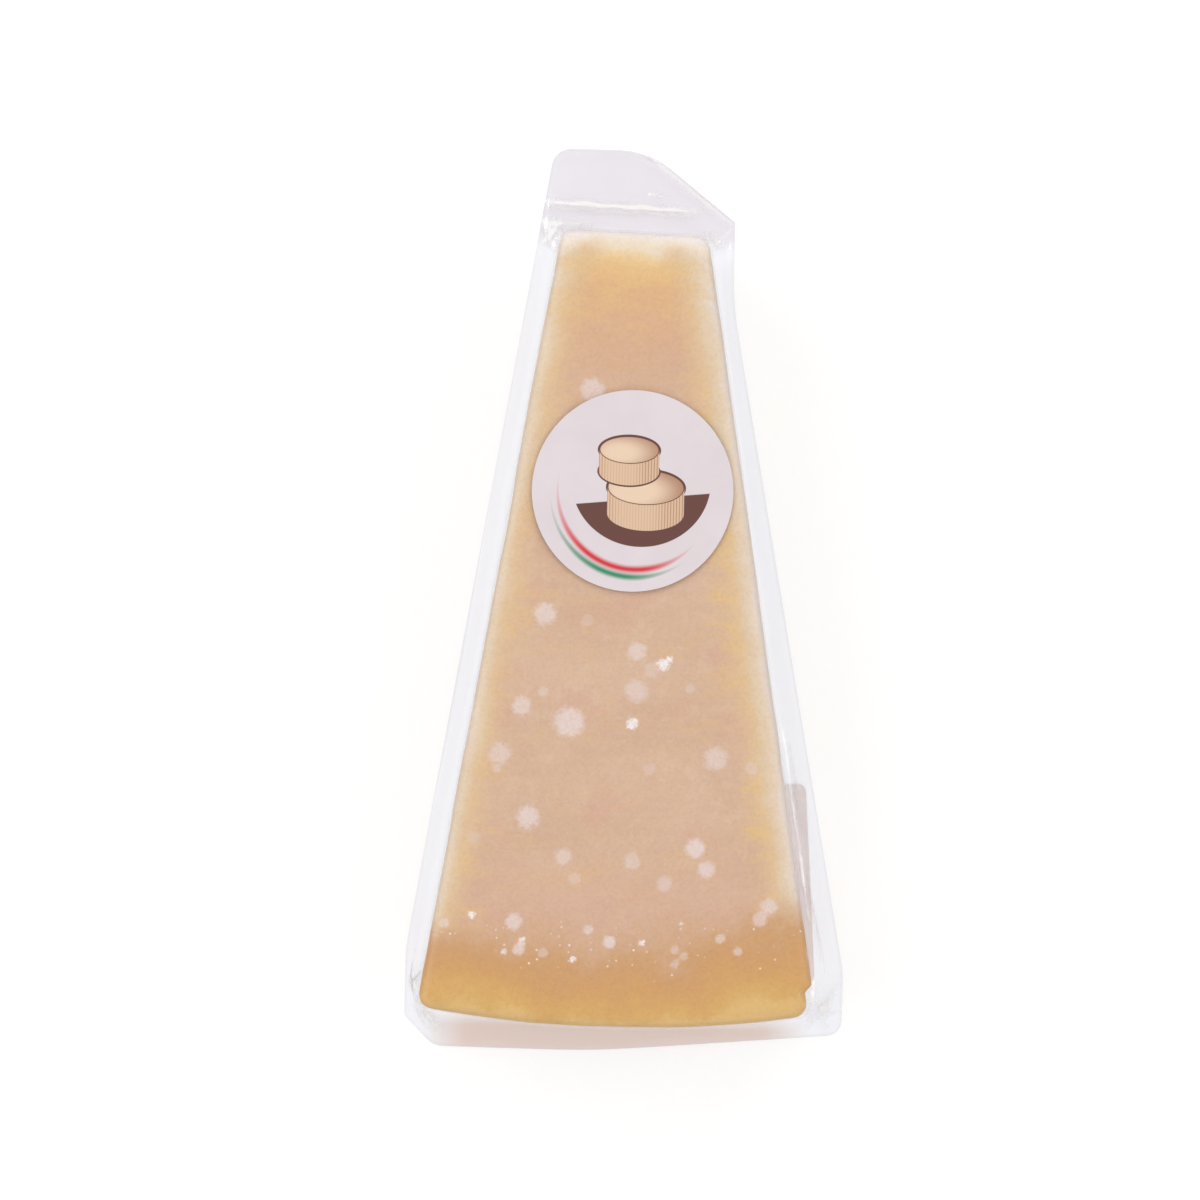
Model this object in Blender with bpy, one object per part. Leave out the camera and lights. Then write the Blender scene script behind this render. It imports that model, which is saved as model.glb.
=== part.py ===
"""A wedge of hard grating cheese, sealed in a clear formed pack, with a round label on its
front and a rectangular label on its back. The pack lies on its flat back, front face up,
with its narrow end towards +Y. The origin is the middle of its footprint, on the surface.

The wedge is one sector of a cheese wheel. Its broad end is the rind, an arc about the
wheel's centre, and its narrow end is cut straight across where the core was taken out.
The film is skin-tight on the cheese, so cheese and film are one solid. The two films are
welded together in a flange round the foot, with a pull tab beyond the narrow end."""

import math

import bmesh
import bpy
from mathutils import Matrix, Vector

# Driving dimensions, in metres unless the name says otherwise. In the wedge's own plan,
# x = 0 is its axis and y = 0 is the rind's outermost point.
WHEEL_RADIUS = 0.210
HALF_ANGLE_DEG = 9.25
WEDGE_LENGTH = 0.133
WEDGE_THICKNESS = 0.036
RIND_BULGE = 0.0007
RIND_CORNER = 0.0025
TIP_CORNER = 0.0022
FACE_ROUNDING = 0.0018

# The flange is cut by hand, so its two sides differ. Each corner is x, y and the radius
# that rounds it, anticlockwise from the clipped corner at the foot.
FLANGE_THICKNESS = 0.0010
FLANGE_CORNERS = [
    (-0.0369, -0.0020, 0.0015),
    (-0.0316, -0.0072, 0.0040),
    (-0.0040, -0.0074, 0.1500),
    (0.0397, -0.0036, 0.0028),
    (0.0397, 0.0075, 0.0200),
    (0.01765, 0.1240, 0.0600),
    (0.01765, 0.1381, 0.0006),
    (0.0021, 0.1503, 0.0160),
    (-0.0142, 0.1503, 0.0034),
    (-0.0369, 0.0100, 0.0300),
]

LABEL_THICKNESS = 0.0003
GAP = 0.0003
FRONT_LABEL_RADIUS = 0.0168
FRONT_LABEL_CENTRE = (0.0006, 0.0898)
BACK_LABEL_CENTRE = (0.0037, 0.0207)
BACK_LABEL_SIZE = (0.0600, 0.0350)
BACK_LABEL_CORNER = 0.0015
BACK_LABEL_TURN_DEG = 4.0

# Facets.
RIND_STEPS = 14
CORNER_STEPS = 5
RISE_STEPS = 6
DISC_STEPS = 72


def half_width(y):
    """Half the width of the wedge between its two cut sides, at y in the wedge's plan."""
    return (WHEEL_RADIUS - y) * math.tan(math.radians(HALF_ANGLE_DEG))


def rounded_outline(corners):
    """Points round a closed outline of (x, y, radius) corners, given anticlockwise."""
    points = []
    for i, (x, y, radius) in enumerate(corners):
        corner = Vector((x, y))
        if radius == 0:
            points.append(corner)
            continue
        back = (Vector(corners[i - 1][:2]) - corner).normalized()
        ahead = (Vector(corners[(i + 1) % len(corners)][:2]) - corner).normalized()
        half = back.angle(ahead) / 2
        centre = corner + (back + ahead).normalized() * (radius / math.sin(half))
        start = corner + back * (radius / math.tan(half)) - centre
        turn = start.angle_signed(corner + ahead * (radius / math.tan(half)) - centre)
        for step in range(CORNER_STEPS + 1):
            angle = -turn * step / CORNER_STEPS
            cos, sin = math.cos(angle), math.sin(angle)
            spoke = Vector((start.x * cos - start.y * sin, start.x * sin + start.y * cos))
            points.append(centre + spoke)
    return points


def wedge_outline():
    """The cheese seen from above: rind arc, two cut sides and the straight cut at the tip."""
    half_angle = math.radians(HALF_ANGLE_DEG)
    corners = []
    for step in range(RIND_STEPS + 1):
        angle = half_angle * (2 * step / RIND_STEPS - 1)
        x = WHEEL_RADIUS * math.sin(angle)
        y = WHEEL_RADIUS * (1 - math.cos(angle))
        at_end = step in (0, RIND_STEPS)
        corners.append((x, y, RIND_CORNER if at_end else 0))
    tip = half_width(WEDGE_LENGTH)
    corners.append((tip, WEDGE_LENGTH, TIP_CORNER))
    corners.append((-tip, WEDGE_LENGTH, TIP_CORNER))
    return rounded_outline(corners)


def label_outline(grow):
    """The back label seen from above, askew to the wedge and grown on all sides."""
    half_w, half_h = (side / 2 + grow for side in BACK_LABEL_SIZE)
    radius = BACK_LABEL_CORNER + grow
    square = rounded_outline(
        [
            (-half_w, -half_h, radius),
            (half_w, -half_h, radius),
            (half_w, half_h, radius),
            (-half_w, half_h, radius),
        ]
    )
    turn = Matrix.Rotation(math.radians(BACK_LABEL_TURN_DEG), 2)
    return [turn @ p + Vector(BACK_LABEL_CENTRE) for p in square]


def placement():
    """How far the wedge's plan moves so that the pack's footprint is centred on the origin."""
    outline = rounded_outline(FLANGE_CORNERS)
    xs = [p.x for p in outline]
    ys = [p.y for p in outline]
    return Vector((-(min(xs) + max(xs)) / 2, -(min(ys) + max(ys)) / 2, 0))


def clear_scene():
    for obj in list(bpy.data.objects):
        bpy.data.objects.remove(obj)


def material(name, colour, roughness, alpha=1.0):
    made = bpy.data.materials.new(name)
    made.use_nodes = True
    shader = made.node_tree.nodes["Principled BSDF"]
    shader.inputs["Base Color"].default_value = (*colour, 1)
    shader.inputs["Roughness"].default_value = roughness
    shader.inputs["Alpha"].default_value = alpha
    return made


def add_object(name, bm, finish, helper=False):
    """Turns a bmesh into an object at the pack's place. A helper only cuts or joins."""
    bmesh.ops.recalc_face_normals(bm, faces=bm.faces)
    mesh = bpy.data.meshes.new(name)
    bm.to_mesh(mesh)
    bm.free()
    obj = bpy.data.objects.new(name, mesh)
    obj.location = placement()
    bpy.context.scene.collection.objects.link(obj)
    if finish:
        mesh.materials.append(finish)
    if helper:
        obj.hide_render = True
        obj.display_type = "WIRE"
    return obj


def slab(outline, bottom, top):
    """A bmesh of an outline raised from bottom to top."""
    bm = bmesh.new()
    floor = bm.faces.new([bm.verts.new((p.x, p.y, bottom)) for p in outline])
    made = bmesh.ops.extrude_face_region(bm, geom=[floor], use_keep_orig=True)
    raised = [g for g in made["geom"] if isinstance(g, bmesh.types.BMVert)]
    bmesh.ops.translate(bm, verts=raised, vec=(0, 0, top - bottom))
    return bm


def bulge_rind(bm):
    """Bows the rind outwards between the two faces, as the side of a whole wheel is bowed."""
    upright = [e for e in bm.edges if abs(e.verts[0].co.z - e.verts[1].co.z) > 1e-6]
    bmesh.ops.subdivide_edges(bm, edges=upright, cuts=RISE_STEPS - 1, use_grid_fill=True)
    for vert in bm.verts:
        near_rind = max(0.0, 1 - vert.co.y / (4 * RIND_CORNER))
        height = 2 * vert.co.z / WEDGE_THICKNESS - 1
        vert.co.y -= RIND_BULGE * (1 - height**2) * near_rind**2


def round_front_edge(bm):
    """Rounds the edge all round the front face, where the film stretches over the cheese."""
    rim = [e for e in bm.edges if all(v.co.z > WEDGE_THICKNESS - 1e-6 for v in e.verts)]
    bmesh.ops.bevel(
        bm,
        geom=rim,
        offset=FACE_ROUNDING,
        segments=3,
        profile=0.5,
        affect="EDGES",
        material=-1,
    )


def add_boolean(obj, other, operation):
    modifier = obj.modifiers.new(operation.title(), "BOOLEAN")
    modifier.operation = operation
    modifier.object = other


def build_pack(finish):
    """Wedge and flange as one solid, with a shallow recess where the film lies flush round
    the back label."""
    body = slab(wedge_outline(), 0, WEDGE_THICKNESS)
    bulge_rind(body)
    round_front_edge(body)
    pack = add_object("sealed_pack", body, finish)
    flange = slab(rounded_outline(FLANGE_CORNERS), 0, FLANGE_THICKNESS)
    add_boolean(pack, add_object("flange_helper", flange, None, helper=True), "UNION")
    recess = slab(label_outline(GAP), -FLANGE_THICKNESS, LABEL_THICKNESS + GAP)
    add_boolean(pack, add_object("recess_helper", recess, None, helper=True), "DIFFERENCE")


def build_front_label(finish):
    bm = bmesh.new()
    bmesh.ops.create_cone(
        bm,
        cap_ends=True,
        segments=DISC_STEPS,
        radius1=FRONT_LABEL_RADIUS,
        radius2=FRONT_LABEL_RADIUS,
        depth=LABEL_THICKNESS,
    )
    middle_height = WEDGE_THICKNESS + GAP + LABEL_THICKNESS / 2
    bmesh.ops.translate(bm, vec=(*FRONT_LABEL_CENTRE, middle_height), verts=bm.verts)
    add_object("front_label", bm, finish)


def build_back_label(finish):
    add_object("back_label", slab(label_outline(0), 0, LABEL_THICKNESS), finish)


def main():
    clear_scene()
    build_pack(material("cheese_in_film", (0.68, 0.47, 0.27), 0.35))
    paper = material("label_paper", (0.86, 0.84, 0.84), 0.55)
    build_front_label(paper)
    build_back_label(paper)


main()
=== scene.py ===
import math

import bmesh
import bpy
from mathutils import Matrix, Vector, noise


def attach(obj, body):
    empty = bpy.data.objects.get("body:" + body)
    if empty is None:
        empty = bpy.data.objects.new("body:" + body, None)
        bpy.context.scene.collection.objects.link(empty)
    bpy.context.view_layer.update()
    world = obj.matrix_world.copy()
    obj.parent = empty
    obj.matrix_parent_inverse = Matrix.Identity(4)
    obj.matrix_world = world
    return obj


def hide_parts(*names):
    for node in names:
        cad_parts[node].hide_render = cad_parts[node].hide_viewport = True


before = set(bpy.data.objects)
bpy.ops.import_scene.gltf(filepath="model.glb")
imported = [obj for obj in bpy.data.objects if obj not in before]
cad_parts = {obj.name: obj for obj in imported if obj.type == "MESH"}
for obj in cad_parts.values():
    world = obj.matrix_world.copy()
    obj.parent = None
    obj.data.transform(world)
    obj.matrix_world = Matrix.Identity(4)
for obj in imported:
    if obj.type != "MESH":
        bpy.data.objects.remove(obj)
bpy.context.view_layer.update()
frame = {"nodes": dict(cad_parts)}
print("frame loaded:", ", ".join(frame["nodes"]))

# All plan sizes below are in mm. x runs across from the wedge's own axis, y from the
# outermost point of the rind towards the tip, z up from the surface the pack lies on.
packMiddle = (1.4, 71.48)


def at(x, y, z):
    return Vector(((x - packMiddle[0]) / 1000, (y - packMiddle[1]) / 1000, z / 1000))


def tone(red, green, blue):
    # a display colour, 0 to 255, as the linear colour a shader wants
    parts = [c / 255 for c in (red, green, blue)]
    return tuple(c / 12.92 if c < 0.04045 else ((c + 0.055) / 1.055) ** 2.4 for c in parts) + (1,)


def bump(distance, width):
    return math.exp(-((distance / width) ** 2))


def unit(value):
    return max(0.0, min(1.0, value))


def softOutline(corners, steps=12):
    # corners are x, y and the radius that rounds them, anticlockwise
    points = []
    for i, (x, y, radius) in enumerate(corners):
        corner = Vector((x, y))
        if radius == 0:
            points.append(corner)
            continue
        back = (Vector(corners[i - 1][:2]) - corner).normalized()
        ahead = (Vector(corners[(i + 1) % len(corners)][:2]) - corner).normalized()
        half = back.angle(ahead) / 2
        centre = corner + (back + ahead).normalized() * (radius / math.sin(half))
        start = corner + back * (radius / math.tan(half)) - centre
        turn = start.angle_signed(corner + ahead * (radius / math.tan(half)) - centre)
        for step in range(steps + 1):
            points.append(centre + Matrix.Rotation(-turn * step / steps, 2) @ start)
    return points


def sampled(points, marks, counts):
    # even steps along each stretch between marks, closer together near the marks
    loop = points + points[:1]
    reach = [0.0]
    for a, b in zip(loop, loop[1:]):
        reach.append(reach[-1] + (b - a).length)
    total = reach[-1]
    stops = []
    for mark in marks:
        nearest = min(range(len(points)), key=lambda k: (points[k] - Vector(mark)).length)
        stops.append(reach[nearest])
    result = []
    for k, count in enumerate(counts):
        start = stops[k]
        span = (stops[(k + 1) % len(stops)] - start) % total
        for step in range(count):
            t = step / count
            eased = t - 0.6 * math.sin(2 * math.pi * t) / (2 * math.pi)
            place = (start + span * eased) % total
            j = max(m for m in range(len(reach) - 1) if reach[m] <= place)
            blend = (place - reach[j]) / max(reach[j + 1] - reach[j], 1e-9)
            result.append(loop[j].lerp(loop[j + 1], blend))
    return result


def outwards(outline):
    # the outward normal at each point of an anticlockwise outline
    normals = []
    for i in range(len(outline)):
        along = outline[(i + 1) % len(outline)] - outline[i - 1]
        normals.append(Vector((along.y, -along.x)).normalized())
    return normals


wedge = {
    "wheelRadius": 210,
    "halfAngle": math.radians(9.25),
    "length": 133,
    "top": 35.7,
    "bottom": 0.75,
    "inset": 0.18,  # how far the cheese stays inside the film
    "rindBulge": 0.7,
    "rindCorner": 2.464,
    "tipCorner": 2.6,
    "notch": 1.3,  # a nick out of the foot's right corner
    "skew": 0.4,  # the tip is cut a little aslant, longer on the left
}


def tipLine(x):
    return wedge["length"] + wedge["skew"] * (1 - x / 14)


def wedgeCorners():
    corners = []
    for step in range(15):
        angle = wedge["halfAngle"] * (step / 7 - 1)
        x = wedge["wheelRadius"] * math.sin(angle)
        y = wedge["wheelRadius"] * (1 - math.cos(angle))
        corners.append((x, y, wedge["rindCorner"] if step in (0, 14) else 0))
    tip = (wedge["wheelRadius"] - wedge["length"]) * math.tan(wedge["halfAngle"])
    corners.append((tip, tipLine(tip), wedge["tipCorner"]))
    corners.append((-tip, tipLine(-tip), wedge["tipCorner"]))
    return corners


flangeCorners = [
    (-36.9, -2.0, 1.5),
    (-31.6, -7.2, 4.0),
    (-4.0, -7.4, 150.0),
    (39.7, -3.6, 2.8),
    (39.7, 7.5, 20.0),
    (17.65, 124.0, 60.0),
    (17.65, 138.1, 0.6),
    (2.1, 150.3, 16.0),
    (-14.2, 150.3, 3.4),
    (-36.9, 10.0, 30.0),
]


def finished(name, bm, material, smooth=True):
    bmesh.ops.recalc_face_normals(bm, faces=bm.faces)
    mesh = bpy.data.meshes.new(name)
    bm.to_mesh(mesh)
    bm.free()
    mesh.materials.append(material)
    for face in mesh.polygons:
        face.use_smooth = smooth
    obj = bpy.data.objects.new(name, mesh)
    bpy.context.scene.collection.objects.link(obj)
    return obj


def settled(obj):
    # modifiers turned into the mesh itself
    graph = bpy.context.evaluated_depsgraph_get()
    mesh = bpy.data.meshes.new_from_object(obj.evaluated_get(graph))
    obj.modifiers.clear()
    obj.data = mesh


def paintVertices(obj, name, value):
    # value is a function of a vertex's plan position in mm
    layer = obj.data.attributes.new(name, "FLOAT", "POINT")
    for i, vert in enumerate(obj.data.vertices):
        x = vert.co.x * 1000 + packMiddle[0]
        y = vert.co.y * 1000 + packMiddle[1]
        layer.data[i].value = value(x, y, vert.co.z * 1000)


def newMaterial(name):
    material = bpy.data.materials.new(name)
    material.use_nodes = True
    material.node_tree.nodes.clear()
    return material, material.node_tree


def add(tree, kind, settings=None, **inputs):
    made = tree.nodes.new(kind)
    for key, value in (settings or {}).items():
        setattr(made, key, value)
    for key, value in inputs.items():
        socket = made.inputs[int(key[1:])] if key[0] == "_" else made.inputs[key.replace("_", " ")]
        if isinstance(value, bpy.types.NodeSocket):
            tree.links.new(value, socket)
        else:
            socket.default_value = value
    return made


def calc(tree, operation, a, b=0.0, clamp=False):
    made = add(tree, "ShaderNodeMath", {"operation": operation, "use_clamp": clamp}, _0=a, _1=b)
    return made.outputs[0]


def times(tree, a, b, clamp=False):
    return calc(tree, "MULTIPLY", a, b, clamp)


def plus(tree, a, b, clamp=False):
    return calc(tree, "ADD", a, b, clamp)


def nudged(tree, value, *nudges):
    # value plus a share of each nudge
    for nudge, share in nudges:
        value = plus(tree, value, times(tree, nudge, share))
    return value


def vectorMath(tree, operation, a, b=(0, 0, 0)):
    made = add(tree, "ShaderNodeVectorMath", {"operation": operation}, _0=a, _1=b)
    return made.outputs["Value" if operation == "LENGTH" else "Vector"]


def ramped(tree, value, low, high, toLow=0.0, toHigh=1.0, smooth=True):
    made = add(
        tree,
        "ShaderNodeMapRange",
        {"interpolation_type": "SMOOTHSTEP" if smooth else "LINEAR"},
        _0=value,
        _1=low,
        _2=high,
        _3=toLow,
        _4=toHigh,
    )
    return made.outputs[0]


def mixed(tree, factor, a, b, kind="MIX"):
    settings = {"data_type": "RGBA", "blend_type": kind, "clamp_factor": True}
    made = add(tree, "ShaderNodeMix", settings, _0=factor, _6=a, _7=b)
    return made.outputs[2]


def toneRamp(tree, value, span, stops):
    # stops are (mm, display colour)
    scaled = ramped(tree, value, 0.0, span, smooth=False)
    made = add(tree, "ShaderNodeValToRGB", _0=scaled)
    steps = made.color_ramp.elements
    while len(steps) < len(stops):
        steps.new(1.0)
    for step, (place, colour) in zip(steps, stops):
        step.position = place / span
        step.color = tone(*colour)
    return made.outputs[0]


def attribute(tree, name):
    return add(tree, "ShaderNodeAttribute", {"attribute_name": name}).outputs["Fac"]


def millimetres(tree, x=0.0, y=0.0, stretch=(1, 1, 1)):
    # object coordinates in plan mm, counted from x, y
    place = add(tree, "ShaderNodeTexCoord").outputs["Object"]
    move = tuple((m - c) * s for m, c, s in zip((*packMiddle, 0), (x, y, 0), stretch))
    size = tuple(1000 * s for s in stretch)
    made = add(tree, "ShaderNodeMapping", Vector=place, Location=move, Scale=size)
    return made.outputs[0]


def cloud(tree, place, scale, detail=3.0, roughness=0.5):
    made = add(
        tree,
        "ShaderNodeTexNoise",
        Vector=place,
        Scale=scale,
        Detail=detail,
        Roughness=roughness,
    )
    return made.outputs[0]


def drift(tree, place, scale, detail, roughness=0.5):
    # a cloud that swings either side of 0
    return calc(tree, "SUBTRACT", cloud(tree, place, scale, detail, roughness), 0.5)


def cells(tree, place, scale):
    # how far it is to the nearest of many scattered points, and a chance value for that point
    made = add(tree, "ShaderNodeTexVoronoi", Vector=place, Scale=scale)
    chance = add(tree, "ShaderNodeSeparateColor", _0=made.outputs["Color"]).outputs[0]
    return made.outputs["Distance"], chance


def blended(tree, factor, a, b):
    return add(tree, "ShaderNodeMixShader", Fac=factor, _1=a.outputs[0], _2=b.outputs[0])


def solidSurface(tree, colour, roughness, height, relief, **inputs):
    # relief is its strength and its depth in metres
    strength, depth = relief
    raised = add(tree, "ShaderNodeBump", Strength=strength, Distance=depth, Height=height)
    surface = add(
        tree,
        "ShaderNodeBsdfPrincipled",
        Base_Color=colour,
        Roughness=roughness,
        Normal=raised.outputs[0],
        **inputs,
    )
    add(tree, "ShaderNodeOutputMaterial", Surface=surface.outputs[0])


# pale eyes and white crystals in the cut face: x, y, radius, whiteness (over 1 is a crystal)
crystals = [
    (-6.5, 106.5, 1.8, 0.8), (-13.5, 69.0, 1.7, 0.9), (-6.5, 68.0, 1.0, 0.3),
    (2.0, 63.0, 1.5, 0.8), (4.5, 60.0, 1.2, 0.4), (2.0, 56.5, 1.7, 0.7),
    (11.0, 57.0, 0.8, 0.4), (-9.0, 51.0, 2.3, 1.0), (-17.0, 53.5, 1.5, 0.8),
    (-13.5, 56.0, 0.8, 0.5), (-20.5, 45.5, 1.7, 0.7), (-21.0, 43.0, 0.7, 0.5),
    (15.5, 45.5, 1.8, 0.7), (21.5, 44.0, 1.0, 0.4), (4.5, 43.5, 1.0, 0.3),
    (-15.5, 35.0, 1.8, 0.9), (-24.5, 31.5, 1.0, 0.3), (12.5, 30.5, 1.5, 1.0),
    (14.5, 27.0, 1.3, 0.9), (-9.5, 28.5, 1.3, 0.7), (-7.5, 25.0, 1.0, 0.4),
    (2.0, 28.0, 1.3, 0.6), (7.5, 24.5, 1.2, 0.6), (25.0, 21.0, 1.3, 0.9),
    (23.5, 19.0, 1.2, 0.7), (-17.5, 17.5, 1.3, 0.9), (-29.0, 17.0, 0.8, 0.7),
    (-5.0, 16.5, 0.8, 0.8), (-1.5, 14.5, 1.0, 1.0), (17.0, 15.5, 0.8, 0.7),
    (20.0, 13.5, 0.7, 0.7), (-16.5, 13.0, 1.0, 0.9), (-12.5, 12.5, 0.8, 0.5),
    (9.5, 13.5, 0.7, 0.5), (11.0, 12.5, 0.7, 0.5), (9.5, 11.0, 0.7, 0.5),
    (6.5, 61.0, 0.9, 2.0), (7.5, 62.0, 0.5, 2.0), (1.5, 51.0, 0.9, 2.0),
    (-24.5, 18.5, 0.6, 2.0), (4.0, 14.5, 0.5, 1.8), (-7.5, 11.5, 0.5, 1.8),
    (-16.0, 14.5, 0.5, 1.7), (-19.0, 12.5, 0.5, 1.6), (10.5, 18.0, 0.4, 1.3),
]

cheeseLook = {
    "voxel": 0.62,
    "edge": 1.7,
    "smoothings": 4,
    "unevenness": 0.12,
    "chips": 0.05,
    "crystalSpread": 1.12,
    "relief": (0.18, 0.0005),
    "body": (212, 179, 150),
    "bodyDark": (205, 169, 139),
    "bodyPale": (218, 188, 158),
    "bodyWarm": (217, 178, 130),
    "bodyRosy": (210, 164, 139),
    "rindFace": (196, 152, 96),
    "rindStipple": (212, 171, 112),
    # painted yellow glow inside the pale edges
    "honeyGlow": (225, 189, 122),
    "eye": (226, 208, 200),
    "white": (242, 237, 232),
    "crumbShade": (0.8, 0.74, 0.66, 1),  # a share of the light, not a display colour
    # mm in from the edge, and the tone there
    # painted glow towards the thin tip
    "tipGlowTones": [
        (2.5, (236, 222, 196)),
        (3.4, (235, 211, 163)),
        (4.3, (234, 200, 141)),
        (5.3, (229, 191, 130)),
        (7.2, (227, 183, 124)),
        (9.0, (220, 175, 123)),
        (11, (218, 172, 124)),
        (14, (216, 172, 129)),
        (22, (210, 166, 131)),
    ],
    # painted glow and sheen at the edges of the cut sides
    "sideGlowTones": [
        (0.4, (226, 213, 201)),
        (1.2, (226, 208, 184)),
        (2.0, (224, 202, 173)),
        (2.8, (221, 198, 164)),
        (4.0, (220, 189, 148)),
        (5.6, (218, 184, 142)),
        (9.0, (214, 180, 143)),
    ],
    # painted glow in the cream band along the tip
    "creamGlowTones": [(0, (239, 232, 225)), (2.4, (237, 221, 192))],
    "rindTones": [
        (0.2, (219, 179, 108)),
        (1.6, (212, 167, 90)),
        (4.4, (208, 159, 88)),
        (7.6, (204, 153, 90)),
        (10.5, (201, 152, 97)),
        (14, (204, 161, 118)),
    ],
}


def rindDistance(x, y):
    radius = wedge["wheelRadius"]
    return radius - math.hypot(x, radius - y)


def nick(x, y):
    # sideways loss where a crumb broke off the right corner
    return wedge["notch"] * unit((8.0 - y) / 1.2) * unit((x - 24) / 8)


def sideDistance(x, y, z):
    # in from the nearest cut side, or minus a share of the depth below the face
    radius, half = wedge["wheelRadius"], wedge["halfAngle"]
    inward = (radius - y) * math.sin(half) - abs(x) * math.cos(half) - wedge["inset"]
    depth = min(wedge["top"] - z, z)
    return inward if depth < 0.6 else min(inward, 0) - 0.5 * depth


def tipDistance(x, y, z):
    # in from the tip, and growing with depth on the end wall
    inward = tipLine(x) - wedge["inset"] - y
    onEnd = unit(1.6 - inward)
    return inward + onEnd * max(0.0, wedge["top"] - z - 1.2)


def makeCheese():
    outline = softOutline(wedgeCorners(), 8)
    normals = outwards(outline)
    bm = bmesh.new()
    bmesh.ops.create_circle(bm, cap_ends=True, segments=len(outline), radius=1)
    bm.verts.ensure_lookup_table()
    for vert, point, normal in zip(bm.verts, outline, normals):
        inner = point - normal * wedge["inset"]
        vert.co = at(inner.x, inner.y, wedge["bottom"])
    made = bmesh.ops.extrude_face_region(bm, geom=bm.faces[:], use_keep_orig=True)
    raised = [g for g in made["geom"] if isinstance(g, bmesh.types.BMVert)]
    height = (wedge["top"] - wedge["bottom"]) / 1000
    bmesh.ops.translate(bm, verts=raised, vec=(0, 0, height))
    bmesh.ops.bevel(
        bm,
        geom=[e for e in bm.edges if e.verts[0].co.z == e.verts[1].co.z],
        offset=cheeseLook["edge"] / 1000,
        segments=4,
        profile=0.5,
        affect="EDGES",
        material=-1,
    )
    cheese = finished("cheese_wedge", bm, cheeseMaterial())
    remesh = cheese.modifiers.new("Remesh", "REMESH")
    remesh.mode = "VOXEL"
    remesh.voxel_size = cheeseLook["voxel"] / 1000
    remesh.use_smooth_shade = True
    settled(cheese)
    bm = bmesh.new()
    bm.from_mesh(cheese.data)
    for _ in range(cheeseLook["smoothings"]):
        bmesh.ops.smooth_vert(
            bm, verts=bm.verts, factor=0.5, use_axis_x=True, use_axis_y=True, use_axis_z=True
        )
    bm.normal_update()
    for vert in bm.verts:
        p = vert.co * 1000
        swell = noise.noise(p * 0.05) * 1.6 + noise.noise(p * 0.16) * 0.8 - 0.7
        chip = max(0.0, noise.noise(p * 0.35 + Vector((7, 3, 1))))
        out = swell * cheeseLook["unevenness"] - chip * cheeseLook["chips"]
        vert.co += vert.normal * (out / 1000)
        x, y = p.x + packMiddle[0], p.y + packMiddle[1]
        inRind = max(0.0, 1 - rindDistance(x, y) / 9)
        belly = 1 - (2 * p.z / wedge["top"] - 1) ** 2
        vert.co.y -= wedge["rindBulge"] / 1000 * belly * inRind**2
        vert.co.x -= nick(x, y) / 1000
    bm.to_mesh(cheese.data)
    bm.free()
    paintVertices(cheese, "fromSide", sideDistance)
    paintVertices(cheese, "fromTip", tipDistance)
    paintVertices(cheese, "depth", lambda x, y, z: wedge["top"] - z)
    paintVertices(cheese, "fromRind", lambda x, y, z: rindDistance(x, y))

    def nearCrystal(x, y, z):
        if z < wedge["top"] - 1.5:
            return -1.0
        spread = cheeseLook["crystalSpread"]
        nearest = max(1 - math.hypot(x - c[0], y - c[1]) / (spread * c[2]) for c in crystals)
        return max(-1.0, nearest)

    def crystalWhite(x, y, z):
        nearest = max(crystals, key=lambda c: 1 - math.hypot(x - c[0], y - c[1]) / c[2])
        return nearest[3]

    paintVertices(cheese, "crystal", nearCrystal)
    paintVertices(cheese, "crystalWhite", crystalWhite)
    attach(cheese, "root")
    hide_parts("sealed_pack")
    print("cheese wedge made:", len(cheese.data.polygons), "faces")


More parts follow.
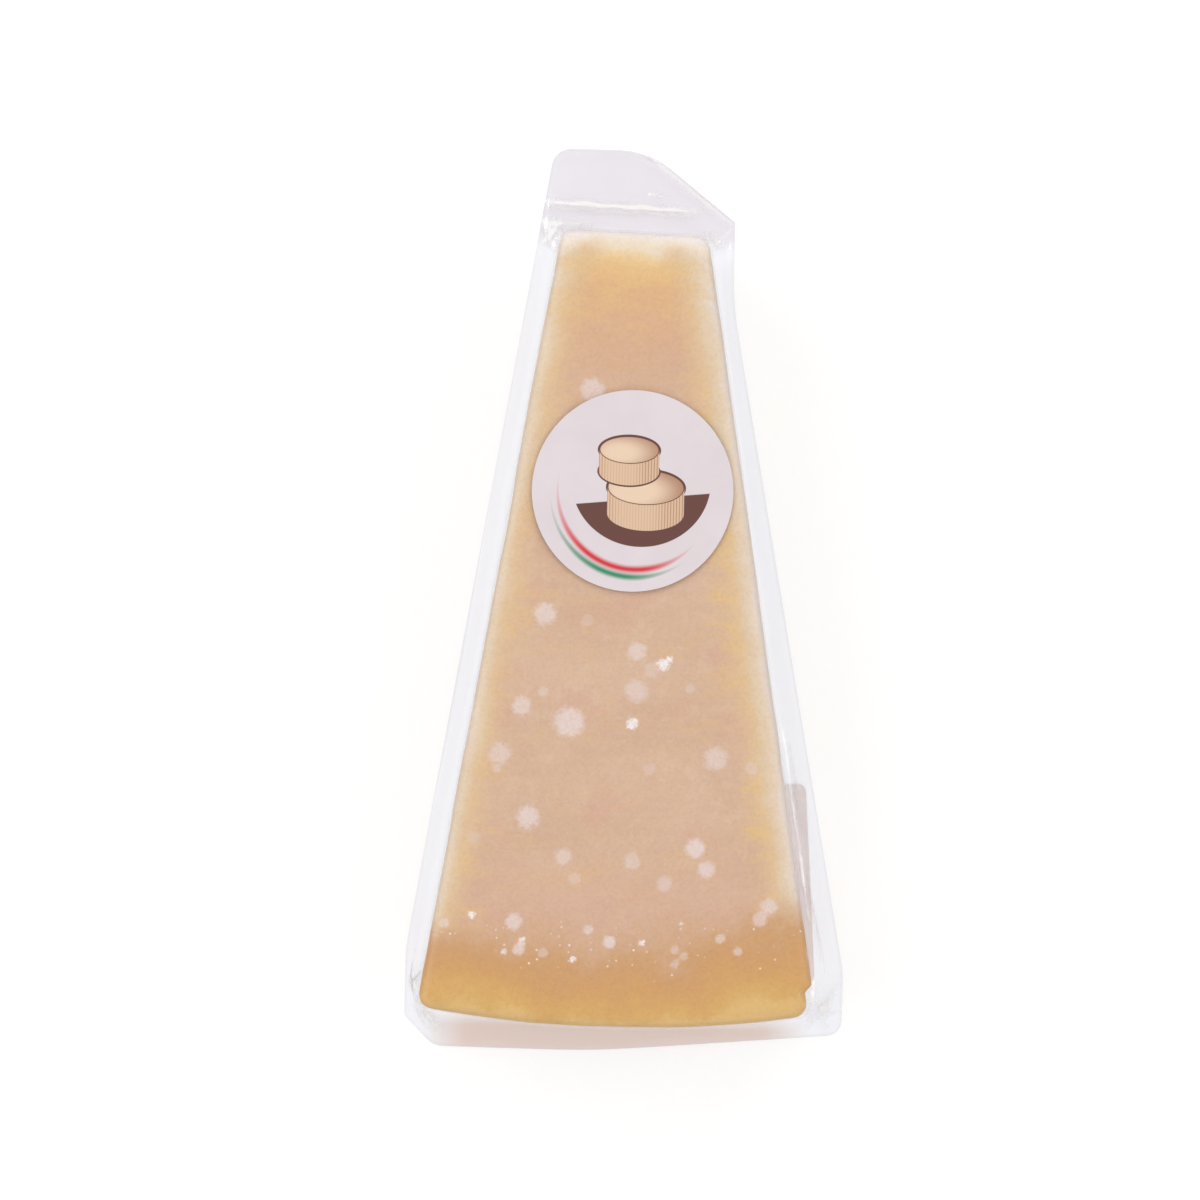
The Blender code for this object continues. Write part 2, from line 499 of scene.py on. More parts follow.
def cheeseMaterial():
    look = cheeseLook
    material, tree = newMaterial("cheese")
    here = millimetres(tree)
    streaky = millimetres(tree, stretch=(0.12, 1, 0.5))
    smeared = millimetres(tree, stretch=(0.4, 1, 0.7))
    across = add(tree, "ShaderNodeSeparateXYZ", _0=here).outputs[0]
    side = attribute(tree, "fromSide")
    tip = attribute(tree, "fromTip")
    rind = attribute(tree, "fromRind")
    wander = drift(tree, here, 0.09, 2)
    crumbly = drift(tree, here, 0.45, 4, 0.65)

    # the paste: soft cloudy patches with faint knife marks across
    patches = ramped(tree, cloud(tree, here, 0.055, 4, 0.55), 0.3, 0.7)
    body = mixed(tree, patches, tone(*look["bodyDark"]), tone(*look["body"]))
    flecks = ramped(tree, cloud(tree, here, 0.35, 3, 0.6), 0.5, 0.7)
    body = mixed(tree, times(tree, flecks, 0.45), body, tone(*look["bodyPale"]))
    knife = ramped(tree, cloud(tree, streaky, 0.9, 3, 0.6), 0.38, 0.62, 0.0, 0.16)
    body = mixed(tree, knife, body, tone(*look["bodyPale"]))
    blotch = ramped(tree, cloud(tree, smeared, 0.3, 5, 0.65), 0.5, 0.7, 0.0, 0.5)
    body = mixed(tree, blotch, body, tone(*look["bodyWarm"]))
    rosy = ramped(tree, cloud(tree, here, 0.12, 4, 0.6), 0.54, 0.7, 0.0, 0.5)
    rosy = calc(tree, "MAXIMUM", rosy, ramped(tree, rind, 34, 17, 0.0, 0.4))
    body = mixed(tree, rosy, body, tone(*look["bodyRosy"]))

    # painted glow: warmer, yellower and paler towards the thin tip, standing for light shining
    # through it
    tipWander = nudged(tree, tip, (wander, 5.0))
    tipGlowTones = toneRamp(tree, tipWander, 40, look["tipGlowTones"])
    body = mixed(tree, ramped(tree, tipWander, 36, 12, 0.0, 0.92), body, tipGlowTones)

    # painted light: paler and pinker at the very edge of each cut side, the right one more so,
    # standing for light through the thin edge and the film's sheen over its rounding
    shift = ramped(tree, across, -10, 10, 0.2, -1.1)
    sideWander = plus(tree, calc(tree, "ABSOLUTE", side), shift)
    sideWander = plus(tree, sideWander, ramped(tree, tip, 16, 2, 0.0, -1.4))
    sideWander = nudged(tree, sideWander, (wander, 3.0), (crumbly, 2.4))
    sideGlowTones = toneRamp(tree, plus(tree, sideWander, 1.0), 10, look["sideGlowTones"])
    body = mixed(tree, ramped(tree, sideWander, 7.5, 2.2), body, sideGlowTones)

    # painted glow: honey-yellow streaks and blotches inside both pale edges, for light shining
    # through the thinner cheese there
    honeyGlow = ramped(tree, cloud(tree, smeared, 0.3, 5, 0.68), 0.43, 0.68, 0.0, 0.55)
    inTip = times(tree, ramped(tree, tip, 26, 7), ramped(tree, tipWander, 3, 5.5))
    inSide = times(tree, ramped(tree, side, 10, 6), ramped(tree, sideWander, 1.6, 3.6))
    inSide = times(tree, inSide, ramped(tree, across, -12, 12, 0.55, 1.0))
    honeyGlow = times(tree, honeyGlow, calc(tree, "MAXIMUM", inTip, inSide))
    body = mixed(tree, honeyGlow, body, tone(*look["honeyGlow"]))

    # painted glow: a pale cream band along the tip, wider where it turns the corners, for light
    # shining through the thin edge
    corner = ramped(tree, side, 5, 0.5, 0.0, 1.5, smooth=False)
    creamWander = calc(tree, "SUBTRACT", tip, corner)
    creamWander = nudged(tree, creamWander, (crumbly, 1.6), (wander, 2.5))
    creamGlow = toneRamp(tree, creamWander, 4, look["creamGlowTones"])
    body = mixed(tree, ramped(tree, creamWander, 3.7, 0.8), body, creamGlow)

    # amber zone under the rind
    rindWander = nudged(tree, rind, (crumbly, 5.0), (wander, 13.0))
    rindWander = plus(tree, rindWander, ramped(tree, across, 12, 27, 0.0, -3.0))
    rindTones = toneRamp(tree, rindWander, 20, look["rindTones"])
    body = mixed(tree, ramped(tree, rindWander, 19.5, 11.5), body, rindTones)
    crumbs = ramped(tree, cloud(tree, here, 1.7, 3, 0.75), 0.4, 0.65, 0.0, 0.28)
    body = mixed(tree, crumbs, body, look["crumbShade"], "MULTIPLY")

    # the stippled outer face of the rind
    facing = add(tree, "ShaderNodeNewGeometry").outputs["Normal"]
    foot = add(tree, "ShaderNodeSeparateXYZ", _0=facing).outputs[1]
    outer = times(tree, ramped(tree, foot, -0.5, -0.9), ramped(tree, rind, 6, 2))
    outer = times(tree, outer, ramped(tree, attribute(tree, "depth"), 1.5, 5))
    stipple = ramped(tree, cloud(tree, here, 0.8, 4, 0.65), 0.35, 0.65, 0.0, 0.5)
    rindFace = mixed(tree, stipple, tone(*look["rindFace"]), tone(*look["rindStipple"]))
    body = mixed(tree, outer, body, rindFace)

    # pale round eyes with ragged rims, and splintered white crystals
    ragged = times(tree, drift(tree, here, 1.5, 4, 0.7), 1.2)
    close = plus(tree, attribute(tree, "crystal"), ragged)
    white = attribute(tree, "crystalWhite")
    eye = times(tree, ramped(tree, close, -0.25, 0.4), times(tree, white, 0.95, True), True)
    grain = ramped(tree, cloud(tree, here, 2.2, 4, 0.7), 0.3, 0.6, 0.6, 1.0)
    body = mixed(tree, times(tree, eye, grain), body, tone(*look["eye"]))
    sugary = ramped(tree, cloud(tree, here, 2.6, 3, 0.75), 0.42, 0.55, 0.25, 1.0)
    splinters = nudged(tree, close, (drift(tree, here, 1.1, 5, 0.75), 3.0))
    bright = times(tree, ramped(tree, splinters, -0.2, 0.45), ramped(tree, white, 1.1, 2.0))
    body = mixed(tree, times(tree, bright, sugary), body, tone(*look["white"]))

    # eyes that the cut sides show
    away, chance = cells(tree, here, 0.13)
    near = nudged(tree, away, (ragged, -0.1))
    pocket = times(tree, ramped(tree, near, 0.3, 0.18), ramped(tree, chance, 0.3, 0.7))
    pocket = times(tree, pocket, ramped(tree, side, -0.3, -0.8, 0.0, 0.8))
    pocket = times(tree, pocket, ramped(tree, rind, 4, 9))
    body = mixed(tree, times(tree, pocket, grain), body, tone(*look["eye"]))

    # a dusting of tiny crystals just above the rind
    away, chance = cells(tree, here, 0.75)
    band = times(tree, ramped(tree, rind, 20, 14), ramped(tree, rind, 6.5, 10))
    band = times(tree, band, ramped(tree, chance, 0.35, 0.95))
    dust = times(tree, ramped(tree, away, 0.2, 0.07), band)
    body = mixed(tree, times(tree, dust, 0.8), body, tone(*look["white"]))

    # relief: faint cut marks, and pits on the rind
    relief = times(tree, cloud(tree, streaky, 1.2, 3), 0.25)
    pits = times(tree, stipple, outer)
    relief = nudged(tree, relief, (cloud(tree, here, 0.25, 4), 0.5), (crumbs, -0.6), (pits, 0.8))
    solidSurface(
        tree,
        body,
        ramped(tree, patches, 0, 1, 0.5, 0.62),
        relief,
        look["relief"],
        Subsurface_Weight=0.12,
        Subsurface_Radius=(1.0, 0.6, 0.35),
        Subsurface_Scale=0.002,
    )
    return material


film = {
    "top": 36.0,
    "rounding": 2.0,
    "draft": 0.45,  # how much wider the formed film is at its foot
    "draftCurve": 1.6,
    "filletHeight": 2.6,
    "filletReach": 2.2,
    "weld": 0.62,  # height of the upper film in the flange
    "backing": 0.4,
    "pole": (0.6, 89.8),  # the point that the rings of the face and the back close in on
    "faceShares": (0.04, 0.2, 0.4, 0.55, 0.7, 0.8, 0.88, 0.94, 0.98),
    "backShares": (0.96, 0.8, 0.6, 0.4, 0.2, 0.04),
    "wallRows": 16,
    "flangeRows": 56,
    "backingRows": 12,
    "counts": (110, 150, 70, 150),  # points along the rind, right side, tip and left side
    "notchShare": 0.6,  # how closely the film follows the nick
    "seal": 140.95,
    "creaseReach": 1.2,
    "glint": (250, 250, 252),
    "haze": (254, 253, 254),
    "tint": (254, 253, 254),
    "flangeTint": (251, 251.5, 253.5),
    "tabTint": (246, 244.5, 247),
    # painted warm shade for the strip of flange at the foot
    "footShadeTint": (243, 235, 231),
    "rimTint": (232, 231, 235),
}

# folds in the film, from x, y to x, y, with strength and width
creases = [
    (36.3, 0.9, 39.0, 5.2, 0.56, 0.52),
    (36.3, 0.9, 39.2, 0.2, 0.5, 0.5),
    (36.3, 0.9, 37.2, -3.2, 0.5, 0.5),
    (36.3, 0.9, 33.6, -2.6, 0.43, 0.5),
    (35.0, 5.2, 34.0, -1.2, 0.56, 0.52),
    (36.3, 0.9, 34.6, 2.6, 0.37, 0.47),
    (-35.8, 3.6, -33.0, -2.0, 0.5, 0.52),
    (-33.6, -1.6, -29.0, -4.4, 0.43, 0.5),
    (-35.6, -0.6, -31.6, -5.2, 0.31, 0.52),
    (-32.6, -2.4, -31.2, -4.0, 0.5, 0.52),
    (-15.8, 137.4, -12.6, 134.0, 0.72, 0.5),
    (-15.6, 134.0, -13.0, 137.2, 0.56, 0.45),
    (-15.9, 137.4, -8.0, 137.3, 0.8, 0.49),
    (-15.4, 136.6, -13.8, 132.6, 0.8, 0.5),
    (-14.2, 137.0, -13.2, 135.4, 0.8, 0.45),
    (13.6, 133.8, 16.8, 136.6, 0.64, 0.45),
    (12.6, 135.9, 17.0, 133.6, 0.56, 0.43),
    (2.6, 142.6, 3.3, 142.4, 1.0, 0.3),
    (4.3, 142.5, 5.0, 142.4, 0.9, 0.28),
    (28.2, 49.0, 34.9, 10.0, 0.5, 0.24),
    (29.3, 47.0, 35.7, 9.0, 0.4, 0.2),
    (30.6, 40.0, 36.4, 7.0, 0.3, 0.2),
    (31.6, 28.0, 34.2, 13.0, 0.35, 0.2),
]


def creaseLines(x, y):
    # how sharply the film is folded or stretched white at a point of the flange and tab, where the
    # white also makes painted glints:
    # the seal across the tab with a fainter line below it, the slanted cut, and the folds
    seal = film["seal"] - 0.04 * (x + 15) + 0.12 * math.sin(x * 0.9) * math.sin(x * 0.31 + 1)
    across = unit(x + 16.2) * unit((12.5 - x) / 6)
    thick = 0.4 + 0.1 * math.sin(x * 0.7 + 1)
    total = 1.25 * bump(y - seal, thick) * across
    total += 0.35 * bump(y - seal + 0.9, 0.25) * across
    slant = (x - 17.3) * 0.62 + (y - 138.5) * 0.79
    total += 0.6 * bump(slant + 0.7, 0.3) * unit((y - 137) / 2)
    reach = film["creaseReach"]
    for ax, ay, bx, by, strength, width in creases:
        besideX = min(ax, bx) - reach < x < max(ax, bx) + reach
        besideY = min(ay, by) - reach < y < max(ay, by) + reach
        if not (besideX and besideY):
            continue
        a, b, p = Vector((ax, ay)), Vector((bx, by)), Vector((x, y))
        t = unit((p - a).dot(b - a) / (b - a).length_squared)
        bend = a.lerp(b, t) + Vector((0.2 * math.sin(9 * t), 0.15 * math.sin(7 * t + 1)))
        total += strength * bump((p - bend).length, width) * (1 - 0.5 * t)
    return min(1.0, total)


def flangeLift(x, y, out):
    # the flange lies in shallow waves, highest near its rim
    wave = noise.noise(Vector((x * 0.06, y * 0.05, 3.0)))
    wave += 0.5 * noise.noise(Vector((x * 0.16, y * 0.12, 8.0)))
    ripple = noise.noise(Vector((x * 0.5, y * 0.2, 1.0))) * 0.12
    return max(0.0, 0.35 + 0.6 * wave + ripple) * out


def ringSheet(rings, count):
    # each ring is a list of points in mm, from the middle of the sheet outwards and on round
    bm = bmesh.new()
    bmesh.ops.create_circle(bm, cap_ends=True, segments=count, radius=1)
    place = bm.verts.layers.int.new("place")
    bm.verts.ensure_lookup_table()
    for i, vert in enumerate(bm.verts):
        vert[place] = i
        vert.co = at(*rings[0][i])
    edges = bm.edges[:]
    for ring in rings[1:]:
        made = bmesh.ops.extrude_edge_only(bm, edges=edges)["geom"]
        edges = [g for g in made if isinstance(g, bmesh.types.BMEdge)]
        for vert in (g for g in made if isinstance(g, bmesh.types.BMVert)):
            vert.co = at(*ring[vert[place]])
    bmesh.ops.contextual_create(bm, geom=edges)
    return bm


def makeFilm():
    count = sum(film["counts"])
    tip = (wedge["wheelRadius"] - wedge["length"]) * math.tan(wedge["halfAngle"])
    foot = wedge["wheelRadius"] * math.sin(wedge["halfAngle"])
    length = wedge["length"]
    wedgeMarks = [(-foot, 2.7), (foot, 2.7), (tip, length), (-tip, length)]
    flangeMarks = [(-34.5, -4.6), (39.6, -3.4), (17.6, 138.1), (-13.8, 150.0)]
    body = sampled(softOutline(wedgeCorners()), wedgeMarks, film["counts"])
    rim = sampled(softOutline(flangeCorners), flangeMarks, film["counts"])
    normals = outwards(body)
    marks = [Vector(m) for m in wedgeMarks]
    toCorner = [min((p - m).length for m in marks) for p in body]
    pole = Vector(film["pole"])
    wallTop = film["top"] - film["rounding"]
    rings = []

    def ring(place):
        rings.append([place(i) for i in range(count)])

    def nicked(p, z):
        return (p.x - film["notchShare"] * nick(p.x, p.y), p.y, z)

    def beside(i, out, z):
        nearFoot = max(0.0, 1 - body[i].y / 9) ** 2
        belly = max(0.0, 1 - (2 * z / film["top"] - 1) ** 2)
        return nicked(body[i] + normals[i] * (out + wedge["rindBulge"] * nearFoot * belly), z)

    def onFace(i, share):
        edge = body[i] - normals[i] * film["rounding"]
        return nicked(pole.lerp(edge, share), film["top"])

    for share in film["faceShares"]:
        ring(lambda i: onFace(i, share))
    for step in range(7):
        angle = math.radians(15 * step)
        out = film["rounding"] * (math.sin(angle) - 1)
        drop = film["rounding"] * (1 - math.cos(angle))
        ring(lambda i: beside(i, out, film["top"] - drop))

    def pleat(i, z):
        # the walls hang looser low down, with small folds at the corners
        low = 1 - z / film["top"]
        corner = bump(toCorner[i], 5.5)
        folds = corner * (0.5 + 0.5 * math.sin(toCorner[i] * 2.6 + i * 0.05))
        p = body[i]
        loose = max(0.0, noise.noise(Vector((p.x * 0.09, p.y * 0.09, z * 0.03))))
        return low**0.8 * (0.12 * folds + 0.5 * loose)

    def lean(i, z):
        return film["draft"] * (1 - z / wallTop) ** film["draftCurve"] + pleat(i, z)

    for step in range(1, film["wallRows"] + 1):
        z = wallTop + (film["filletHeight"] - wallTop) * step / film["wallRows"]
        ring(lambda i: beside(i, lean(i, z), z))

    def reach(i):
        # the fillet takes less room where the flange is narrow
        room = (rim[i] - body[i]).length
        return lean(i, film["filletHeight"]) + min(film["filletReach"], 0.35 * room)

    def onFillet(i, angle):
        first = lean(i, film["filletHeight"])
        out = first + (reach(i) - first) * (1 - math.cos(angle))
        fall = (film["filletHeight"] - film["weld"]) * math.sin(angle)
        return beside(i, out, film["filletHeight"] - fall)

    def onFlange(i, share, height):
        p = (body[i] + normals[i] * reach(i)).lerp(rim[i], share)
        return (p.x, p.y, height + flangeLift(p.x, p.y, min(1, share * 1.5)))

    def onBack(i, share):
        p = pole.lerp(body[i], share)
        return (p.x, p.y, film["backing"])

    for step in range(1, 7):
        ring(lambda i: onFillet(i, math.radians(15 * step)))
    for step in range(1, film["flangeRows"] + 1):
        ring(lambda i: onFlange(i, step / film["flangeRows"], film["weld"]))
    for step in range(film["backingRows"], 0, -1):
        ring(lambda i: onFlange(i, step / film["backingRows"], film["backing"]))
    for share in film["backShares"]:
        ring(lambda i: onBack(i, share))
    sheet = finished("clear_film_pack", ringSheet(rings, count), filmMaterial())

    def crease(x, y, z):
        return creaseLines(x, y) if z < 4 else 0.0

    def flange(x, y, z):
        return unit((5 - z) / 4)

    def wall(x, y, z):
        return unit(min((z - 2) / 3, (film["top"] - 0.8 - z) / 2))

    def nearRim(x, y, z):
        if z > 4:
            return 0.0
        p = Vector((x, y))
        return bump(min((p - q).length for q in rim), 0.45)

    def underFoot(x, y, z):
        # painted shade and light: the strip of flange at the foot is tinted darker and warm, for
        # the wedge's shadow and the warm light off the rind falling on it
        return unit((-0.9 - y) / 2.5) * unit((34 - abs(x)) / 8)

    paintVertices(sheet, "crease", crease)
    paintVertices(sheet, "flange", flange)
    paintVertices(sheet, "wall", wall)
    paintVertices(sheet, "rim", nearRim)
    paintVertices(sheet, "underFoot", underFoot)
    paintVertices(sheet, "tab", lambda x, y, z: unit((y - 133) / 3))
    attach(sheet, "root")
    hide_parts("sealed_pack")
    print("film made:", len(sheet.data.polygons), "faces")


def filmMaterial():
    look = film
    material, tree = newMaterial("clear film")
    here = millimetres(tree)
    drawn = millimetres(tree, stretch=(1, 0.25, 0.25))
    hanging = millimetres(tree, stretch=(1, 1, 0.12))
    flange = attribute(tree, "flange")
    wall = attribute(tree, "wall")

    # relief: folds drawn along the flange, and long drapes down the walls
    folds = times(tree, cloud(tree, drawn, 0.5, 3, 0.6), flange)
    drapes = times(tree, cloud(tree, hanging, 0.22, 4, 0.6), times(tree, wall, 3.0))
    height = nudged(tree, folds, (cloud(tree, here, 0.1, 3), 0.5))
    height = plus(tree, height, drapes)
    normal = add(tree, "ShaderNodeBump", Strength=0.25, Distance=0.0006, Height=height).outputs[0]
    glint = add(
        tree,
        "ShaderNodeBsdfPrincipled",
        Base_Color=tone(*look["glint"]),
        Metallic=1.0,
        Roughness=ramped(tree, calc(tree, "MAXIMUM", flange, wall), 0, 1, 0.3, 0.12),
        Normal=normal,
    )
    haze = add(
        tree,
        "ShaderNodeBsdfPrincipled",
        Base_Color=tone(*look["haze"]),
        Roughness=0.35,
        Normal=normal,
    )

    # hardly tinted, a little more in the flange, the tab, the foot and the rim; the foot's darker
    # warm tint is painted shade
    tint = mixed(tree, flange, tone(*look["tint"]), tone(*look["flangeTint"]))
    tint = mixed(tree, attribute(tree, "tab"), tint, tone(*look["tabTint"]))
    tint = mixed(tree, attribute(tree, "underFoot"), tint, tone(*look["footShadeTint"]))
    rim = times(tree, attribute(tree, "rim"), 0.3)
    tint = mixed(tree, rim, tint, tone(*look["rimTint"]))
    clear = add(tree, "ShaderNodeBsdfTransparent", Color=tint)

    # it mirrors most where it is seen edge on, and hardly on its inner side
    facing = add(tree, "ShaderNodeLayerWeight", Blend=0.5, Normal=normal).outputs["Facing"]
    mirror = times(tree, calc(tree, "POWER", facing, 4.0), 0.85)
    mirror = plus(tree, mirror, ramped(tree, wall, 0, 1, 0.03, 0.1))
    behind = add(tree, "ShaderNodeNewGeometry").outputs["Backfacing"]
    mirror = times(tree, mirror, ramped(tree, behind, 0, 1, 1.0, 0.1))
    gloss = blended(tree, mirror, clear, blended(tree, 0.45, glint, haze))

    # white along the creases: film whitened where folded, with painted glints on the seal and the
    # folds
    creaseWhiteAndGlint = ramped(tree, attribute(tree, "crease"), 0.05, 0.9, 0.0, 0.92, smooth=False)
    final = blended(tree, creaseWhiteAndGlint, gloss, blended(tree, 0.7, glint, haze))
    add(tree, "ShaderNodeOutputMaterial", Surface=final.outputs[0])
    return material


frontLabel = {
    "centre": (0.6, 89.8),
    "radius": 16.8,
    "bottom": 36.1,
    "thickness": 0.18,
    "edge": 0.06,
    "paper": (222, 212, 215),
    "paperShade": (218, 207, 210),
    "brown": (93, 52, 44),
    "straw": (222, 190, 160),
    "strawDark": (171, 128, 100),
    "strawPale": (231, 203, 176),
    "red": (206, 40, 52),
    "green": (40, 132, 92),
}

paperRelief = (0.08, 0.0002)  # strength, and depth in metres


def paperGroup():
    # fine fibre tone and relief, shared by both labels
    group = bpy.data.node_groups.new("paper fibre", "ShaderNodeTree")
    for name, kind, way in (
        ("Place", "NodeSocketVector", "INPUT"),
        ("Fineness", "NodeSocketFloat", "INPUT"),
        ("Tone", "NodeSocketFloat", "OUTPUT"),
        ("Height", "NodeSocketFloat", "OUTPUT"),
    ):
        group.interface.new_socket(name=name, socket_type=kind, in_out=way)
    start = group.nodes.new("NodeGroupInput")
    end = group.nodes.new("NodeGroupOutput")
    fibre = cloud(group, start.outputs["Place"], start.outputs["Fineness"], 4, 0.6)
    wide = cloud(group, start.outputs["Place"], 0.15, 2)
    group.links.new(ramped(group, wide, 0.3, 0.7), end.inputs["Tone"])
    group.links.new(fibre, end.inputs["Height"])
    return group


def disc(tree, place, centre, size, soft=0.05):
    # 1 inside an ellipse, 0 outside
    shifted = vectorMath(tree, "SUBTRACT", place, (*centre, 0))
    shrunk = vectorMath(tree, "MULTIPLY", shifted, (1 / size[0], 1 / size[1], 0))
    away = vectorMath(tree, "LENGTH", shrunk)
    return ramped(tree, away, 1 + soft / size[0], 1 - soft / size[0])


def drum(tree, colour, place, centre, size, height, look):
    # a whole cheese: a side band under an oval top
    x, y = centre
    width, depth = size
    foot = (x, y - height)
    parts = add(tree, "ShaderNodeSeparateXYZ", _0=place).outputs
    fromMiddle = calc(tree, "ABSOLUTE", calc(tree, "SUBTRACT", parts[0], x))
    above = ramped(tree, parts[1], y - height - 0.05, y - height + 0.05)
    band = times(tree, above, ramped(tree, parts[1], y + 0.05, y - 0.05))
    band = times(tree, band, ramped(tree, fromMiddle, width + 0.06, width - 0.06))
    side = calc(tree, "MAXIMUM", band, disc(tree, place, foot, size))

    # a brown line all round
    wider = (width + 0.28, depth + 0.28)
    outline = disc(tree, place, foot, wider)
    outline = calc(tree, "MAXIMUM", outline, disc(tree, place, centre, wider))
    outline = calc(tree, "MAXIMUM", outline, band)
    colour = mixed(tree, outline, colour, tone(*look["brown"]))

    # upright ticks on the side, darker towards its ends
    ticks = calc(tree, "SINE", times(tree, parts[0], 13.0))
    fromLit = calc(tree, "ABSOLUTE", calc(tree, "SUBTRACT", parts[0], x - 0.25 * width))
    edgeShade = ramped(tree, fromLit, 0.3 * width, 1.1 * width)
    shade = ramped(tree, ticks, -0.2, 0.9, 0.15, 0.85)
    shade = times(tree, shade, plus(tree, edgeShade, 0.35, True), True)
    sideTone = mixed(tree, shade, tone(*look["straw"]), tone(*look["strawDark"]))
    colour = mixed(tree, side, colour, sideTone)

    # the top, brown at its edge and lit from the left
    colour = mixed(tree, disc(tree, place, centre, size), colour, tone(*look["brown"]))
    glow = disc(tree, place, (x - 0.3 * width, y - 0.2 * depth), (width * 0.9, depth), 3.0)
    topTone = mixed(tree, glow, tone(*look["strawDark"]), tone(*look["strawPale"]))
    return mixed(tree, disc(tree, place, centre, (width - 0.16, depth - 0.14)), colour, topTone)


def swoosh(tree, colour, place, centre, radius, width, start, end, ink):
    # an arc that thins and fades towards both ends, angles in degrees from straight down
    shifted = vectorMath(tree, "SUBTRACT", place, (*centre, 0))
    parts = add(tree, "ShaderNodeSeparateXYZ", _0=shifted).outputs
    angle = calc(tree, "ARCTAN2", parts[0], times(tree, parts[1], -1.0))
    angle = calc(tree, "DEGREES", angle)
    fade = times(tree, ramped(tree, angle, start, start + 75), ramped(tree, angle, end, end - 50))
    away = vectorMath(tree, "LENGTH", shifted)
    off = calc(tree, "ABSOLUTE", calc(tree, "SUBTRACT", away, radius))
    line = ramped(tree, off, plus(tree, times(tree, fade, width), 0.12), 0.05)
    return mixed(tree, times(tree, line, fade), colour, tone(*ink))


def frontLabelMaterial(paper):
    look = frontLabel
    material, tree = newMaterial("front label paper")
    place = millimetres(tree, *look["centre"])
    flat = vectorMath(tree, "MULTIPLY", place, (1, 1, 0))
    fibre = add(tree, "ShaderNodeGroup", {"node_tree": paper}, Place=place, Fineness=2.2).outputs
    colour = mixed(tree, fibre["Tone"], tone(*look["paper"]), tone(*look["paperShade"]))

    # plain arcs of red and green
    colour = swoosh(tree, colour, flat, (0.6, 0.0), 13.1, 0.8, -110, 55, look["red"])
    colour = swoosh(tree, colour, flat, (0.5, -0.1), 14.25, 0.75, -95, 42, look["green"])

    # a plain brown shelf under two whole cheeses
    parts = add(tree, "ShaderNodeSeparateXYZ", _0=flat).outputs
    tilted = calc(tree, "SUBTRACT", parts[1], times(tree, parts[0], 0.1))
    below = ramped(tree, tilted, -1.35, -1.5)
    shelf = times(tree, disc(tree, flat, (1.4, 1.6), (11.6, 10.9)), below)
    colour = mixed(tree, shelf, colour, tone(*look["brown"]))
    colour = drum(tree, colour, flat, (2.2, 0.6), (6.4, 2.9), 4.3, look)
    colour = drum(tree, colour, flat, (-0.7, 6.8), (5.0, 2.3), 3.6, look)
    solidSurface(tree, colour, 0.42, fibre["Height"], paperRelief)
    return material


def makeFrontLabel(paper):
    look = frontLabel
    bm = bmesh.new()
    bmesh.ops.create_circle(bm, cap_ends=True, segments=160, radius=look["radius"] / 1000)
    bmesh.ops.translate(bm, verts=bm.verts, vec=at(*look["centre"], look["bottom"]))
    made = bmesh.ops.extrude_face_region(bm, geom=bm.faces[:], use_keep_orig=True)
    raised = [g for g in made["geom"] if isinstance(g, bmesh.types.BMVert)]
    bmesh.ops.translate(bm, verts=raised, vec=(0, 0, look["thickness"] / 1000))
    bmesh.ops.bevel(
        bm,
        geom=bm.edges[:],
        offset=look["edge"] / 1000,
        segments=2,
        profile=0.5,
        affect="EDGES",
        material=-1,
    )
    label = finished("front_label_paper", bm, frontLabelMaterial(paper), smooth=False)
    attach(label, "root")
    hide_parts("front_label")
    print("front label made")


backLabel = {
    "centre": (3.7, 20.7),
    "turn": math.radians(4),
    "paper": (255, 245, 238),
    "paperShade": (252, 240, 236),
    "band": (168, 132, 112),
    "panel": (188, 168, 160),
}


def backLabelMaterial(paper):
    look = backLabel
    material, tree = newMaterial("back label paper")
    place = millimetres(tree, *look["centre"])
    turned = add(tree, "ShaderNodeMapping", Vector=place, Rotation=(0, 0, -look["turn"])).outputs[0]
    x, y, _ = add(tree, "ShaderNodeSeparateXYZ", _0=turned).outputs
    fibre = add(tree, "ShaderNodeGroup", {"node_tree": paper}, Place=place, Fineness=2.2).outputs
    colour = mixed(tree, fibre["Tone"], tone(*look["paper"]), tone(*look["paperShade"]))

    # the printed side faces down: a band of colour and plain panels, no lettering
    facing = add(tree, "ShaderNodeNewGeometry").outputs["Normal"]
    down = ramped(tree, add(tree, "ShaderNodeSeparateXYZ", _0=facing).outputs[2], -0.4, -0.6)

    def panel(left, right, low, high):
        soft = 0.1
        inX = times(tree, ramped(tree, x, left, left + soft), ramped(tree, x, right, right - soft))
        inY = times(tree, ramped(tree, y, low, low + soft), ramped(tree, y, high, high - soft))
        return times(tree, inX, inY)

    header = panel(-27, 27, 9.5, 14.5)
    colour = mixed(tree, times(tree, header, down), colour, tone(*look["band"]))
    lines = times(tree, panel(11, 27, -14, 6.4), 0.45)
    for row in range(6):
        bar = panel(-27, 6 - (row * 7) % 5, 5.2 - row * 3.4, 6.4 - row * 3.4)
        lines = calc(tree, "MAXIMUM", lines, bar)
    lines = times(tree, lines, times(tree, down, 0.55))
    colour = mixed(tree, lines, colour, tone(*look["panel"]))
    solidSurface(tree, colour, 0.5, fibre["Height"], paperRelief)
    return material


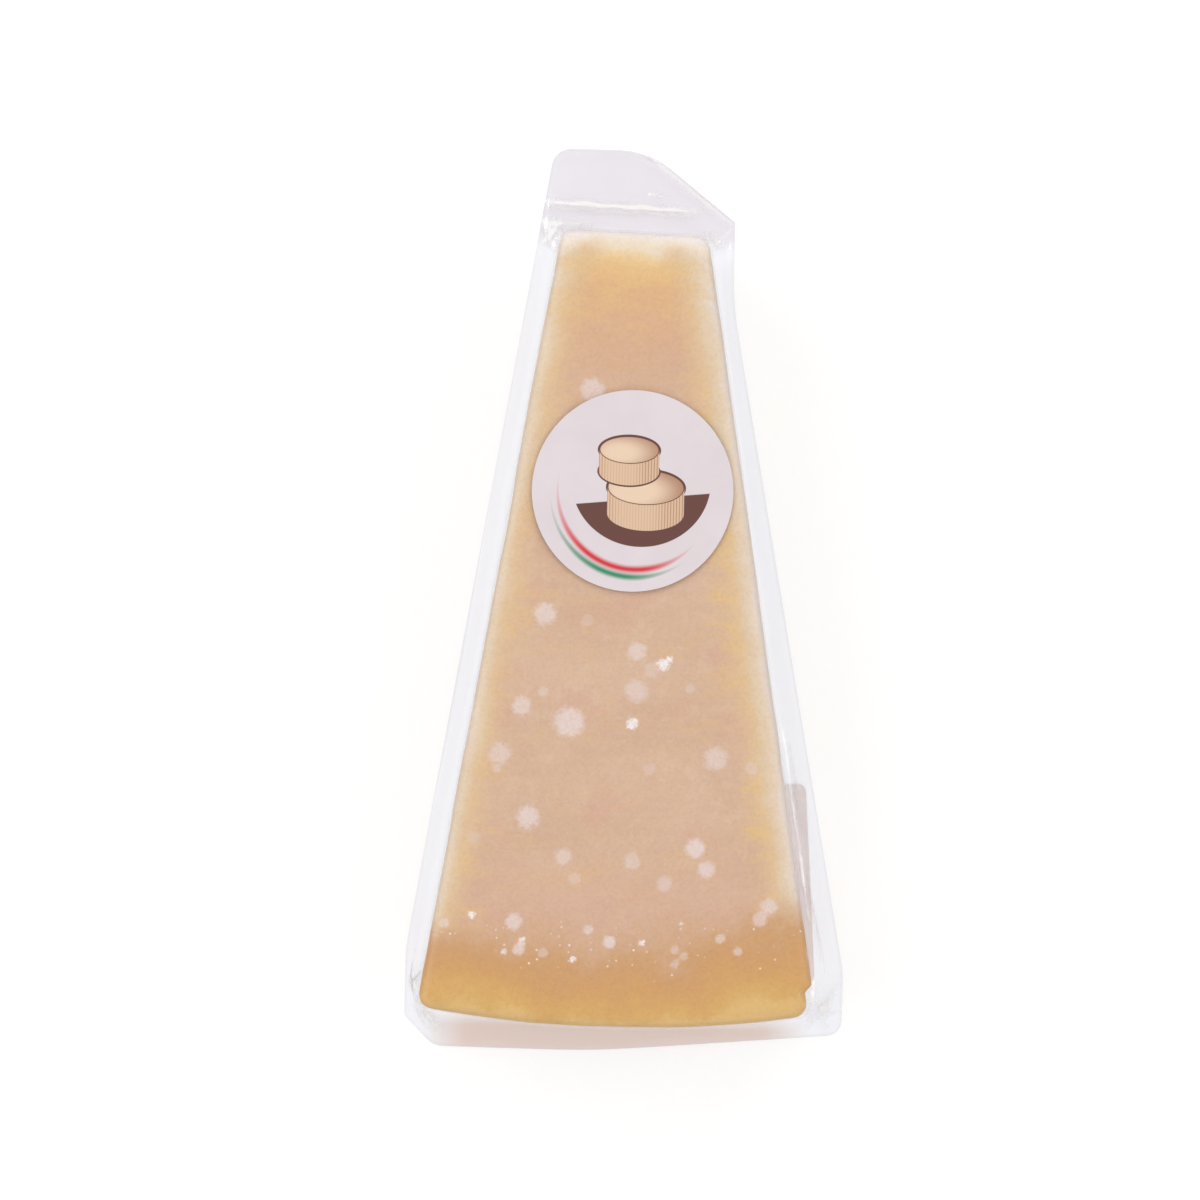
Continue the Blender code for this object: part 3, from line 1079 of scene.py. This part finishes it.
studio = {
    "world": 0.435,
    "floorTone": 0.52,
    "floorGlow": 0.56,
    "cameraAbove": 736,
    "cameraOver": (-4.4, 71.5),
    "cameraRoll": 1.4,
    "lens": 126,
    "floorSize": 3,  # metres
    "floorDrop": 0.0002,  # metres, to keep it clear of the pack
    # name, place and size in metres, watts
    "softboxes": [
        ("left softbox", (-0.9, 0.25, 0.85), (1.1, 1.2), 6.8),
        ("right softbox", (0.95, 0.1, 0.8), (0.9, 1.2), 4.7),
        ("far softbox", (0.1, 1.0, 0.8), (1.3, 0.6), 4.05),
        ("near softbox", (0.0, -1.1, 0.7), (1.3, 0.7), 3.65),
    ],
}


def seenPlainly(tree):
    # 1 for what the camera sees, straight, mirrored or through the film; 0 for light that bounces
    rays = add(tree, "ShaderNodeLightPath").outputs
    seen = calc(tree, "MAXIMUM", rays["Is Camera Ray"], rays["Is Glossy Ray"])
    return calc(tree, "MAXIMUM", seen, rays["Is Transmission Ray"])


def makeFloor():
    bm = bmesh.new()
    bmesh.ops.create_grid(bm, x_segments=1, y_segments=1, size=studio["floorSize"])
    bmesh.ops.translate(bm, verts=bm.verts, vec=(0, 0, -studio["floorDrop"]))
    material, tree = newMaterial("floor")
    matt = add(tree, "ShaderNodeBsdfDiffuse", Color=(studio["floorTone"],) * 3 + (1,))
    glow = add(tree, "ShaderNodeEmission", Color=(1, 1, 1, 1), Strength=studio["floorGlow"])
    both = add(tree, "ShaderNodeAddShader", _0=matt.outputs[0], _1=glow.outputs[0])
    mix = blended(tree, seenPlainly(tree), matt, both)
    add(tree, "ShaderNodeOutputMaterial", Surface=mix.outputs[0])
    finished("floor", bm, material, smooth=False)


def makeWorld():
    world = bpy.data.worlds.new("studio")
    world.use_nodes = True
    tree = world.node_tree
    tree.nodes.clear()
    soft = add(tree, "ShaderNodeBackground", Color=(1, 1, 1, 1), Strength=studio["world"])
    white = add(tree, "ShaderNodeBackground", Color=(1, 1, 1, 1), Strength=1.0)
    mix = blended(tree, seenPlainly(tree), soft, white)
    add(tree, "ShaderNodeOutputWorld", Surface=mix.outputs[0])
    bpy.context.scene.world = world


def softbox(name, place, size, watts):
    lamp = bpy.data.lights.new(name, "AREA")
    lamp.shape = "RECTANGLE"
    lamp.size, lamp.size_y = size
    lamp.energy = watts
    obj = bpy.data.objects.new(name, lamp)
    obj.location = place
    obj.rotation_euler = Vector(place).to_track_quat("Z", "Y").to_euler()
    bpy.context.scene.collection.objects.link(obj)


def makeCamera():
    lens = bpy.data.cameras.new("camera")
    lens.lens = studio["lens"]
    lens.sensor_width = 36
    lens.clip_start = 0.01
    camera = bpy.data.objects.new("camera", lens)
    camera.location = at(*studio["cameraOver"], studio["cameraAbove"])
    camera.rotation_euler = (0, 0, math.radians(studio["cameraRoll"]))
    bpy.context.scene.collection.objects.link(camera)
    bpy.context.scene.camera = camera


makeCheese()
makeFilm()
paper = paperGroup()
makeFrontLabel(paper)
backNode = frame["nodes"]["back_label"]
backNode.data.materials.clear()
backNode.data.materials.append(backLabelMaterial(paper))
makeFloor()
makeWorld()
for lamp in studio["softboxes"]:
    softbox(*lamp)
makeCamera()
bpy.context.scene.view_settings.view_transform = "Standard"
print("studio made")
